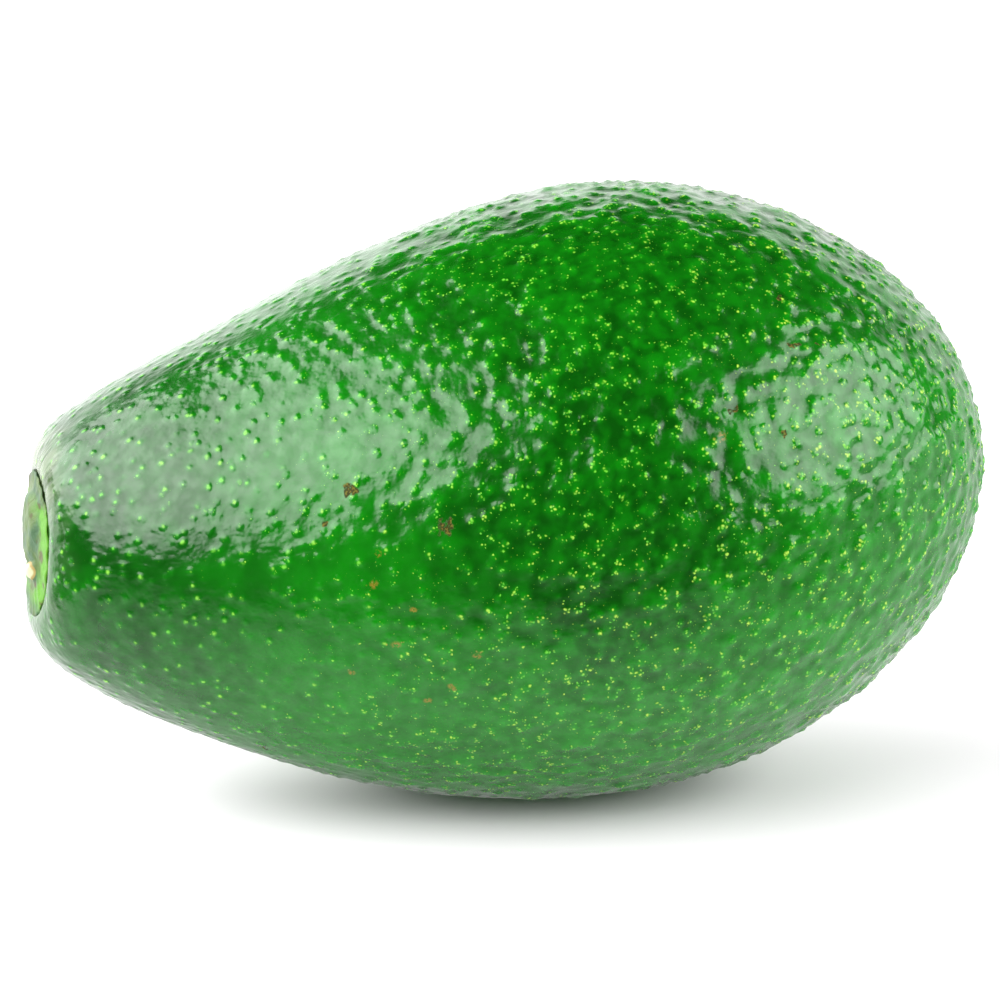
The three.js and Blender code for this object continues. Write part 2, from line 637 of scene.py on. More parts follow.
@dataclass(frozen=True)
class Fleck:
    """One mark on the skin.

    Attributes:
        place: its centre, in millimetres.
        length: its half-length along X, in millimetres.
        width: its half-width, in millimetres.
    """

    place: Point3
    length: float
    width: float


CORKY_FLECKS = (
    Fleck((-22.2, -25.4, 42.4), 0.8, 1.0),
    Fleck((-25.0, -25.5, 38.8), 0.6, 0.5),
    Fleck((-12.5, -30.1, 39.1), 1.0, 1.0),
    Fleck((27.8, -23.9, 56.2), 1.1, 0.45),
    Fleck((30.6, -22.9, 55.7), 0.6, 0.35),
    Fleck((25.2, -30.0, 47.7), 0.9, 0.5),
    Fleck((19.7, -29.9, 50.6), 0.35, 0.7),
    Fleck((27.2, -19.4, 60.6), 0.5, 0.3),
    Fleck((-29.8, -12.1, 9.7), 1.9, 0.35),
    Fleck((12.0, 24.0, 58.0), 0.9, 0.6),
    Fleck((-20.0, 22.0, 46.0), 0.6, 0.9),
    Fleck((34.0, 18.0, 44.0), 0.8, 0.5),
)
AMBER_PATCHES = (
    Fleck((-20.1, -28.4, 32.6), 1.3, 1.3),
    Fleck((-16.0, -29.7, 29.8), 1.1, 1.1),
    Fleck((-17.7, -28.6, 25.7), 1.5, 1.2),
    Fleck((-22.2, -25.9, 22.0), 1.2, 1.0),
    Fleck((-19.6, -28.2, 36.0), 1.1, 1.1),
    Fleck((-9.1, -30.7, 24.5), 1.3, 1.0),
    Fleck((-11.6, -28.8, 20.7), 1.3, 1.0),
    Fleck((-14.0, -27.3, 18.7), 1.4, 1.0),
    Fleck((18.0, -31.3, 48.1), 1.4, 1.4),
    Fleck((-4.0, 30.0, 36.0), 2.2, 1.6),
    Fleck((22.0, 26.0, 24.0), 2.0, 1.4),
)
ENDLESS = 99.0
FAR = 9.0
STEM_MARKS = (
    Fleck((0.0, -6.0, -0.3), ENDLESS, 0.75),
    Fleck((0.0, -4.1, 5.1), ENDLESS, 0.6),
    Fleck((0.0, -3.6, -3.9), ENDLESS, 0.5),
    Fleck((0.0, -6.8, -3.3), ENDLESS, 0.45),
    Fleck((0.0, -6.4, -5.3), ENDLESS, 0.45),
    Fleck((0.0, 3.0, 4.0), ENDLESS, 0.6),
    Fleck((0.0, 5.6, -1.5), ENDLESS, 0.7),
)


def nearness(graph: Graph, place: Value, flecks: Sequence[Fleck]) -> Value:
    """How near a place is to some marks.

    Args:
        graph: the tree to add to.
        place: the place.
        flecks: the marks.

    Returns:
        The distance to the nearest mark, where 1 is on its edge.
    """
    nearest: Value = FAR
    for fleck in flecks:
        centre = tuple(part * MM for part in fleck.place)
        weights = (1 / (fleck.length * MM), 1 / (fleck.width * MM), 1 / (fleck.width * MM))
        reach = graph.length(graph.offset(place, centre, weights))
        nearest = graph.math("MINIMUM", reach, nearest)
    return nearest


@dataclass(frozen=True)
class SkinRelief:
    """The pebbled surface of the skin, as heights in metres.

    Attributes:
        swell_cell: size of the widest, softest swelling.
        swell_height: its full height on the belly.
        pebble_cell: size of the pebbles.
        pebble_height: their full height on the belly.
        pebble_reach: where a pebble's side starts and ends, in cells from its middle.
        pimple_reach: radius of the pimple under a lenticel, in cells.
        pimple_heights: height of a pimple on the neck and on the belly.
        belly_span: where along X the calm skin of the neck gives way to that of the belly.
        calm: share of the belly's relief that the neck has.
        rest_fade: height above the surface over which the relief fades in.
        rim_fade: distances from the middle of the socket's rim over which it fades in.
        scar_radii: outer and inner radius of the dent round the blossom-end scar.
        scar_depth: its depth.
    """

    swell_cell: float = 4.6 * MM
    swell_height: float = 0.46 * MM
    pebble_cell: float = 2.7 * MM
    pebble_height: float = 0.17 * MM
    pebble_reach: Point2 = (0.78, 0.12)
    pimple_reach: float = 0.62
    pimple_heights: Point2 = (0.1 * MM, 0.3 * MM)
    belly_span: Point2 = (-40 * MM, 6 * MM)
    calm: float = 0.2
    rest_fade: float = 2.5 * MM
    rim_fade: Point2 = (9.0 * MM, 14.0 * MM)
    scar_radii: Point2 = (3.6 * MM, 0.8 * MM)
    scar_depth: float = 0.45 * MM

    def height(self, graph: Graph, place: Value, rim: Vector, scar: Vector) -> Value:
        """Height of the relief.

        Args:
            graph: the tree to add to.
            place: a point on the smooth skin.
            rim: centre of the socket's rim.
            scar: centre of the blossom-end scar.

        Returns:
            The height's socket.
        """
        along = graph.part(place, "X")
        belly = graph.ramp(along, *self.belly_span, self.calm, 1.0)
        swelling = graph.math("SUBTRACT", graph.noise(place, self.swell_cell, Seed.SWELL, 0.0), 0.5)
        to_pebble, _ = graph.cells(place, self.pebble_cell, Seed.PEBBLE)
        half = self.pebble_height / 2
        pebble = graph.ramp(to_pebble, *self.pebble_reach, -half, half)
        rough = graph.times(graph.plus(graph.times(swelling, self.swell_height), pebble), belly)
        to_pimple, _ = graph.cells(place, COARSE.cell, COARSE.seed)
        pimple_height = graph.ramp(along, *self.belly_span, *self.pimple_heights)
        pimple = graph.times(graph.ramp(to_pimple, self.pimple_reach, 0.0), pimple_height)
        dent = graph.ramp(graph.distance(place, scar), *self.scar_radii, 0.0, self.scar_depth)
        total = graph.math("SUBTRACT", graph.plus(rough, pimple), dent)
        above = graph.ramp(graph.part(place, "Z"), 0.0, self.rest_fade)
        off_rim = graph.ramp(graph.distance(place, rim), *self.rim_fade)
        return graph.times(total, graph.times(above, off_rim))


@dataclass(frozen=True)
class Greens:
    """The green under the marks. Each ramp gives a share of the way from deep to bright.

    Attributes:
        deep: the darkest green, which the hollows of the relief take as painted shade.
        bright: the lightest green, on the pebbles as painted light, and towards the blossom end.
        mottle_cell: size of the mottling.
        mottle: over soft noise.
        freckles: over fine noise.
        freckled: how strong the freckles are along X.
        painted_relief_shade: over the height of the relief, painted shade that darkens the hollows and
            lightens the pebbles.
        blossomward: along X, towards the blossom end.
        neckward: along X, towards the narrow end.
        painted_floor_bounce: down the fruit, painted light that stands for light thrown up from the floor on
            to the underside.
        painted_top_shade: up the fruit, painted shade that darkens the top.
        painted_shade_place: middle of a painted shade on the belly's side towards the camera.
        shade: the painted shade's strength towards that place.
    """

    deep: Colour = (0.0008, 0.05, 0.0006, 1.0)
    bright: Colour = (0.003, 0.27, 0.002, 1.0)
    mottle_cell: float = 3.0 * MM
    mottle: Ramp = (0.3, 0.7, 0.2, 0.34)
    freckles: Ramp = (0.32, 0.68, -0.1, 0.08)
    freckled: Ramp = (-30 * MM, 10 * MM, 0.2, 1.0)
    painted_relief_shade: Ramp = (-0.12 * MM, 0.28 * MM, 0.0, 0.25)
    blossomward: Ramp = (8 * MM, 45 * MM, 0.0, 0.08)
    neckward: Ramp = (-22 * MM, -48 * MM, 0.0, -0.27)
    painted_floor_bounce: Ramp = (30 * MM, 4 * MM, 0.0, 0.13)
    painted_top_shade: Ramp = (46 * MM, 64 * MM, 0.0, -0.14)
    painted_shade_place: Point3 = (4 * MM, -32 * MM, 40 * MM)
    shade: Ramp = (26 * MM, 8 * MM, 0.0, 0.2)

    def colour(self, graph: Graph, place: Value, grain: Value) -> Value:
        """Mixes the green.

        Args:
            graph: the tree to add to.
            place: a point on the smooth skin.
            grain: fine soft noise.

        Returns:
            The colour's socket.
        """
        height = graph.node("ShaderNodeAttribute", attribute_name=Attribute.HEIGHT.value).outputs["Fac"]
        along, up = graph.part(place, "X"), graph.part(place, "Z")
        freckles = graph.times(graph.ramp(grain, *self.freckles), graph.ramp(along, *self.freckled))
        light = graph.plus(
            graph.ramp(graph.noise(place, self.mottle_cell, Seed.TINT, 2.0), *self.mottle),
            # Painted shade: darker in the hollows of the relief, lighter on the pebbles.
            graph.ramp(height, *self.painted_relief_shade),
            freckles,
            graph.ramp(along, *self.blossomward),
            graph.ramp(along, *self.neckward),
            # Painted light: lighter towards the bottom, for light thrown up from the floor.
            graph.ramp(up, *self.painted_floor_bounce),
            # Painted shade: darker towards the top.
            graph.ramp(up, *self.painted_top_shade),
        )
        # Painted shade: a darker patch on the belly's side towards the camera.
        shade = graph.ramp(graph.distance(place, self.painted_shade_place), *self.shade)
        light = graph.math("SUBTRACT", light, shade, clamp=True)
        return graph.mix(light, self.deep, self.bright)


@dataclass(frozen=True)
class Wrinkles:
    """The fine wrinkles that run in to the socket. Their colour is painted light: highlights on the ridges
    and shade in the furrows, on the upper side only.

    Attributes:
        pale: whitish ridges of the wrinkled skin, a painted highlight.
        painted_furrow_shade: purplish furrows between them, painted shade.
        weights: of the coordinates, when a wrinkle's direction is taken.
        cell: size of the wrinkles' pattern, as a share of the distance from the socket.
        ridges: values of the pattern where the furrows end and the ridges begin.
        above: how strong they are over the height above the rim's centre, which keeps the painted light to
            the upper side.
        near: distances from the rim's centre between which they fade out.
        ragged: the same for their colour, whose edge is ragged.
        jitter: size and reach of the jitter that makes it ragged.
        cover: how far they hide the green.
    """

    pale: Colour = (0.22, 0.25, 0.16, 1.0)
    painted_furrow_shade: Colour = (0.06, 0.065, 0.03, 1.0)
    weights: Point3 = (0.06, 1.0, 1.0)
    cell: float = 0.11
    ridges: Point2 = (0.38, 0.55)
    above: Ramp = (3 * MM, 9 * MM, 0.15, 1.0)
    near: Point2 = (14 * MM, 9 * MM)
    ragged: Point2 = (15 * MM, 9 * MM)
    jitter: Point2 = (3 * MM, 6 * MM)
    cover: float = 0.6

    def add(self, graph: Graph, place: Value, rim: Vector, green: Value) -> tuple[Value, Value]:
        """Lays the wrinkles over the green.

        Args:
            graph: the tree to add to.
            place: a point on the smooth skin.
            rim: centre of the socket's rim.
            green: the green.

        Returns:
            The new colour, and the wrinkles' height, from 0 to 1.
        """
        lines = graph.noise(graph.unit(graph.offset(place, rim, self.weights)), self.cell, Seed.STREAK, 2.0)
        start, end, low, high = self.above
        above = graph.ramp(graph.part(place, "Z"), rim.z + start, rim.z + end, low, high)
        near = graph.times(graph.ramp(graph.distance(place, rim), *self.near), above)
        loose = graph.jittered(place, *self.jitter, Seed.WRINKLE_EDGE)
        ragged = graph.times(graph.ramp(graph.distance(loose, rim), *self.ragged), above)
        # Painted light: pale highlights on the ridges and dark shade in the furrows.
        painted_wrinkle_light = graph.mix(graph.ramp(lines, *self.ridges), self.painted_furrow_shade, self.pale)
        return graph.mix(graph.times(ragged, self.cover), green, painted_wrinkle_light), graph.times(lines, near)


@dataclass(frozen=True)
class Dots:
    """The colours and sizes of the lenticels. Lengths along X and Z are in the CAD frame.

    Attributes:
        glow: colour of the halos round the lenticels.
        lime: colour of fresh lenticels.
        straw: colour of older lenticels.
        amber: colour of the orange-brown lenticels.
        halo: strength of the halo over the distance to a coarse lenticel, in cells.
        coarse_size: size of the coarse dots along X.
        coarse_age: how old the coarse dots look along X.
        coarse_cover: how far a coarse dot hides the green.
        cluster: size of the fine dots over the distance to a coarse one, in cells.
        fine_neck: size of the fine dots along X, on the neck.
        fine_tip: the same towards the blossom end.
        fine_tint: values of the random tint between which the fine dots look older.
        age_tip: how old the fine dots look along X.
        age_low: how old they look down the fruit.
        amber_edge: where an orange-brown patch starts and is full, as shares of its size.
        amber_size: size of the fine dots over an orange-brown patch.
        scab_edge: where a patch's scabby middle starts and is full.
        scab_crumbs: values of the crumbly noise where the scab shows.
    """

    glow: Colour = (0.01, 0.34, 0.004, 1.0)
    lime: Colour = (0.1, 0.48, 0.02, 1.0)
    straw: Colour = (0.4, 0.62, 0.05, 1.0)
    amber: Colour = (0.16, 0.13, 0.01, 1.0)
    halo: Ramp = (0.42, 0.05, 0.0, 0.16)
    coarse_size: Ramp = (-38 * MM, 0 * MM, 1.0, 0.5)
    coarse_age: Ramp = (-40 * MM, 0 * MM, 0.4, 1.0)
    coarse_cover: float = 0.85
    cluster: Ramp = (0.55, 0.22, 0.32, 1.25)
    fine_neck: Ramp = (-42 * MM, -2 * MM, 0.3, 1.0)
    fine_tip: Ramp = (5 * MM, 40 * MM, 1.0, 1.2)
    fine_tint: Point2 = (0.2, 0.8)
    age_tip: Ramp = (5 * MM, 30 * MM, 0.4, 1.0)
    age_low: Ramp = (44 * MM, 26 * MM, 0.4, 1.0)
    amber_edge: Point2 = (1.0, 0.6)
    amber_size: Ramp = (0.0, 1.0, 1.0, 1.3)
    scab_edge: Point2 = (0.5, 0.15)
    scab_crumbs: Point2 = (0.4, 0.52)

    def add(
        self, graph: Graph, place: Value, ragged: Value, crumb: Value, green: Value
    ) -> tuple[Value, Value]:
        """Lays the lenticels over the green.

        Args:
            graph: the tree to add to.
            place: a point on the smooth skin.
            ragged: the same point, jittered.
            crumb: crumbly noise.
            green: the green.

        Returns:
            The new colour, and a mask of the dots.
        """
        along, up = graph.part(place, "X"), graph.part(place, "Z")
        coarse, to_coarse, coarse_tint = COARSE.dots(graph, ragged, graph.ramp(along, *self.coarse_size))
        from_amber = nearness(graph, ragged, AMBER_PATCHES)
        amber = graph.ramp(from_amber, *self.amber_edge)
        size = graph.times(
            graph.ramp(to_coarse, *self.cluster),
            graph.times(graph.ramp(along, *self.fine_neck), graph.ramp(along, *self.fine_tip)),
            graph.ramp(amber, *self.amber_size),
        )
        fine, _, fine_tint = FINE.dots(graph, ragged, size)
        age = graph.most(graph.ramp(along, *self.age_tip), graph.ramp(up, *self.age_low))
        fine_tint = graph.times(graph.ramp(fine_tint, *self.fine_tint), age)
        colour = graph.mix(graph.ramp(to_coarse, *self.halo), green, self.glow)
        scab = graph.times(graph.ramp(from_amber, *self.scab_edge), graph.ramp(crumb, *self.scab_crumbs))
        colour = graph.mix(scab, colour, self.amber)
        fresh = graph.mix(fine_tint, self.lime, self.straw)
        colour = graph.mix(fine, colour, graph.mix(amber, fresh, self.amber))
        aged = graph.mix(graph.times(coarse_tint, graph.ramp(along, *self.coarse_age)), self.lime, self.straw)
        colour = graph.mix(graph.times(coarse, self.coarse_cover), colour, aged)
        return colour, graph.most(coarse, fine)


@dataclass(frozen=True)
class Cork:
    """The brown corky flecks and the scar at the blossom end.

    Attributes:
        dark: darker colour of the cork.
        rust: its lighter colour.
        jitter: size and reach of the jitter that makes its edges ragged.
        edge: where a fleck starts and is full, as shares of its size.
        cover: how far a fleck hides the green, over the crumbly noise.
        rusty: values of the noise where a fleck turns rusty.
        scar_edge: radii where the scar starts and is full.
        scar_dark: values of the noise where the scar turns dark.
    """

    dark: Colour = (0.03, 0.03, 0.003, 1.0)
    rust: Colour = (0.11, 0.095, 0.012, 1.0)
    jitter: Point2 = (0.9 * MM, 2.2 * MM)
    edge: Point2 = (1.05, 0.7)
    cover: Ramp = (0.36, 0.44, 0.25, 1.0)
    rusty: Point2 = (0.52, 0.62)
    scar_edge: Point2 = (2.1 * MM, 1.3 * MM)
    scar_dark: Point2 = (0.35, 0.5)

    def add(
        self, graph: Graph, place: Value, scar: Vector, crumb: Value, green: Value
    ) -> tuple[Value, Value]:
        """Lays the cork over the green.

        Args:
            graph: the tree to add to.
            place: a point on the smooth skin.
            scar: centre of the blossom-end scar.
            crumb: crumbly noise.
            green: the green.

        Returns:
            The new colour, and a mask of the cork.
        """
        torn = graph.jittered(place, *self.jitter, Seed.CORK)
        flecks = graph.ramp(nearness(graph, torn, CORKY_FLECKS), *self.edge)
        flecks = graph.times(flecks, graph.ramp(crumb, *self.cover))
        colour = graph.mix(flecks, green, graph.mix(graph.ramp(crumb, *self.rusty), self.dark, self.rust))
        scarred = graph.ramp(graph.distance(torn, scar), *self.scar_edge)
        scabby = graph.mix(graph.ramp(crumb, *self.scar_dark), self.rust, self.dark)
        return graph.mix(scarred, colour, scabby), graph.most(flecks, scarred)


@dataclass(frozen=True)
class Wax:
    """The wax over the skin and its finest relief.

    Attributes:
        roughness: of the wax.
        dot_roughness: how much rougher the dots are.
        cork_roughness: how much rougher the cork is.
        bloom: the wax's strength over fine noise.
        cork_gloss: the share of it that the cork has.
        bump_height: full height of the finest relief.
        hammer_cell: size of the hammered pattern.
        hammer: its strength.
        streak_cell: size of the streaks across.
        streak_weights: of the coordinates, which draw the streaks out along X.
        streaks: their strength along X.
        dome: height of the small dome under each coarse dot, over the distance to it, in cells.
        wrinkles: strength of the wrinkles round the socket.
    """

    roughness: float = 0.18
    dot_roughness: float = 0.2
    cork_roughness: float = 0.45
    bloom: Ramp = (0.3, 0.7, 0.44, 0.6)
    cork_gloss: Ramp = (0.0, 1.0, 1.0, 0.25)
    bump_height: float = 0.1 * MM
    hammer_cell: float = 0.85 * MM
    hammer: float = 0.46
    streak_cell: float = 0.9 * MM
    streak_weights: Point3 = (0.3, 1.0, 1.0)
    streaks: Ramp = (-30 * MM, 0 * MM, 0.3, 0.1)
    dome: Ramp = (0.46, 0.08, 0.0, 0.4)
    wrinkles: float = 2.0

    def gloss(self, graph: Graph, shader: bpy.types.Node, grain: Value, dots: Value, cork: Value) -> None:
        """Sets how rough the wax is and how strongly it mirrors.

        Args:
            graph: the tree to add to.
            shader: the skin's shader.
            grain: fine soft noise.
            dots: a mask of the lenticels.
            cork: a mask of the cork.
        """
        matt = graph.most(graph.times(dots, self.dot_roughness), graph.times(cork, self.cork_roughness))
        graph.feed(shader.inputs["Roughness"], graph.plus(self.roughness, matt))
        wax = graph.times(graph.ramp(grain, *self.bloom), graph.ramp(cork, *self.cork_gloss))
        graph.feed(shader.inputs["Specular IOR Level"], wax)

    def relief(self, graph: Graph, place: Value, wrinkles: Value) -> Value:
        """The finest relief.

        Args:
            graph: the tree to add to.
            place: a point on the smooth skin.
            wrinkles: height of the wrinkles round the socket, from 0 to 1.

        Returns:
            The relief, where 1 is its full height.
        """
        hammered = graph.times(graph.noise(place, self.hammer_cell, Seed.SPECK), self.hammer)
        drawn_out = graph.vector("MULTIPLY", place, self.streak_weights)
        strength = graph.ramp(graph.part(place, "X"), *self.streaks)
        streaks = graph.times(graph.noise(drawn_out, self.streak_cell, Seed.STREAK), strength)
        to_dome, _ = graph.cells(place, COARSE.cell, COARSE.seed)
        dome = graph.ramp(to_dome, *self.dome)
        return graph.plus(hammered, streaks, dome, graph.times(wrinkles, self.wrinkles))


@dataclass(frozen=True)
class SkinFinish:
    """Waxy green skin with pale lenticels, orange specks and brown corky flecks.

    Attributes:
        greens: the green under the marks.
        wrinkles: the wrinkles round the socket.
        dots: the lenticels.
        cork: the corky flecks and the scar.
        wax: the gloss and the finest relief.
        grain_cell: size of the fine noise.
        crumb_cell: size of the crumbly noise.
        dot_jitter: size and reach of the jitter that makes the dots ragged.
    """

    greens: Greens = Greens()
    wrinkles: Wrinkles = Wrinkles()
    dots: Dots = Dots()
    cork: Cork = Cork()
    wax: Wax = Wax()
    grain_cell: float = 1.5 * MM
    crumb_cell: float = 0.35 * MM
    dot_jitter: Point2 = (0.5 * MM, 0.35 * MM)

    def material(self, rim: Vector, scar: Vector) -> bpy.types.Material:
        """The skin's material.

        Args:
            rim: centre of the socket's rim.
            scar: centre of the blossom-end scar.

        Returns:
            The new material.
        """
        material, graph, shader = new_material("avocado_skin")
        place = graph.node("ShaderNodeAttribute", attribute_name=Attribute.PLACE.value).outputs["Vector"]
        ragged = graph.jittered(place, *self.dot_jitter, Seed.RAGGED)
        grain = graph.noise(place, self.grain_cell, Seed.GRAIN)
        crumb = graph.noise(place, self.crumb_cell, Seed.CORK, 2.0)
        colour = self.greens.colour(graph, place, grain)
        colour, wrinkles = self.wrinkles.add(graph, place, rim, colour)
        colour, dots = self.dots.add(graph, place, ragged, crumb, colour)
        colour, cork = self.cork.add(graph, place, scar, crumb, colour)
        graph.feed(shader.inputs["Base Color"], colour)
        self.wax.gloss(graph, shader, grain, dots, cork)
        graph.add_bump(shader, self.wax.relief(graph, place, wrinkles), self.wax.bump_height)
        return material


@dataclass
class Skin:
    """The fruit's skin: one closed surface, with the socket at the narrow end.

    Attributes:
        form: the fruit's outline and axis.
        relief: its pebbled surface.
        finish: its finish.
        socket_radius: radius of the socket.
        socket_depth: depth of the socket's floor under its rim.
        lip: radius of the socket's rounded lip.
        lip_drop: how far the lip's outer edge lies below the rim.
        fillet: radius between the socket's wall and floor.
        turns: steps round the fruit.
    """

    form: FruitForm
    relief: SkinRelief = field(default_factory=SkinRelief)
    finish: SkinFinish = field(default_factory=SkinFinish)
    socket_radius: float = 7.8 * MM
    socket_depth: float = 1.8 * MM
    lip: float = 1.0 * MM
    lip_drop: float = 0.1 * MM
    fillet: float = 0.9 * MM
    turns: int = 352

    def outline(self) -> list[Arc]:
        """The outline, from the socket's floor round the lip to the blossom end.

        Returns:
            Its stretches.
        """
        form = self.form
        radius = self.socket_radius
        floor = form.rim_station + self.socket_depth
        lip_top = (form.rim_station + self.lip_drop, radius + self.lip)
        lip_foot = (form.rim_station + self.lip, radius)
        wall_foot = (floor - self.fillet, radius)
        floor_edge = (floor, radius - self.fillet)
        belly_station, belly_radius = form.belly
        tip = (form.length, 0.0)
        return [
            straight((floor, 0.0), floor_edge, 6),
            Arc(
                floor_edge,
                (floor, radius - self.fillet / 2),
                (floor - self.fillet / 2, radius),
                wall_foot,
                4,
            ),
            straight(wall_foot, lip_foot, 2),
            Arc(
                lip_foot,
                (form.rim_station + self.lip / 3, radius),
                (form.rim_station, radius + self.lip / 2),
                lip_top,
                6,
            ),
            Arc(lip_top, form.blunt, form.shoulder, form.neck, 50),
            Arc(form.neck, form.waist, (belly_station - form.belly_to_neck, belly_radius), form.belly, 90),
            Arc(
                form.belly,
                (belly_station + form.belly_to_tip, belly_radius),
                (form.length, form.tip_handle),
                tip,
                110,
            ),
        ]

    def place_in_frame(self, skin: bpy.types.Object) -> Vector:
        """Moves the skin to where the CAD fruit is.

        Args:
            skin: the bent skin.

        Returns:
            How far it moved.
        """
        places = places_of(skin)
        low, high = (Vector(corner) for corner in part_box("fruit"))
        middle = (places[:, 0].min() + places[:, 0].max()) / 2
        move = Vector(((low.x + high.x) / 2 - middle, 0.0, -self.form.rest_depth - places[:, 2].min()))
        set_places(skin, places + np.array(move))
        return move

    def raise_relief(self, skin: bpy.types.Object, rim: Vector, scar: Vector) -> None:
        """Raises the pebbles and pimples, and keeps the smooth skin's place as an attribute.

        Args:
            skin: the smooth skin, in its place.
            rim: centre of the socket's rim.
            scar: centre of the blossom-end scar.
        """
        tree = bpy.data.node_groups.new("skin_relief", "GeometryNodeTree")
        tree.interface.new_socket("Geometry", in_out="INPUT", socket_type="NodeSocketGeometry")
        tree.interface.new_socket("Geometry", in_out="OUTPUT", socket_type="NodeSocketGeometry")
        graph = Graph(tree)
        source = graph.node("NodeGroupInput")
        result = graph.node("NodeGroupOutput")
        place = graph.node("GeometryNodeInputPosition").outputs[0]
        normal = graph.node("GeometryNodeInputNormal").outputs[0]
        height = self.relief.height(graph, place, rim, scar)
        mesh = source.outputs[0]
        stored = ((Attribute.PLACE, "FLOAT_VECTOR", place), (Attribute.HEIGHT, "FLOAT", height))
        for attribute, kind, value in stored:
            store = graph.node("GeometryNodeStoreNamedAttribute", data_type=kind, domain="POINT")
            graph.feed(store.inputs["Geometry"], mesh)
            graph.feed(store.inputs["Name"], attribute.value)
            graph.feed(store.inputs["Value"], value)
            mesh = store.outputs[0]
        move = graph.node("GeometryNodeSetPosition")
        graph.feed(move.inputs["Geometry"], mesh)
        graph.feed(move.inputs["Offset"], graph.scaled(normal, height))
        graph.feed(result.inputs[0], move.outputs[0])
        modifier = skin.modifiers.new("relief", "NODES")
        modifier.node_group = tree
        apply_modifiers(skin)
        bpy.data.node_groups.remove(tree)

    def press_flat(self, skin: bpy.types.Object) -> None:
        """Presses the underside flat where the fruit rests.

        Args:
            skin: the skin, in its place.
        """
        places = places_of(skin)
        places[:, 2] = np.maximum(places[:, 2], 0.0)
        set_places(skin, places)

    def build(self) -> tuple[bpy.types.Object, Vector]:
        """Builds the skin.

        Returns:
            The skin, and the move from the form's own frame to the CAD frame.
        """
        skin = spun("avocado_skin", self.outline(), self.turns)
        set_places(skin, self.form.bent(self.form.recessed(places_of(skin))))
        move = self.place_in_frame(skin)
        ends, _ = self.form.axis(np.array([self.form.rim_station, self.form.length]))
        rim, scar = (Vector((end[0], 0.0, end[1])) + move for end in ends)
        self.raise_relief(skin, rim, scar)
        self.press_flat(skin)
        skin.data.materials.append(self.finish.material(rim, scar))
        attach(skin, "root")
        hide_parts("fruit")
        return skin, move


# ---------------------------------------------------------------------------------------------
# Stub of the stem
# ---------------------------------------------------------------------------------------------


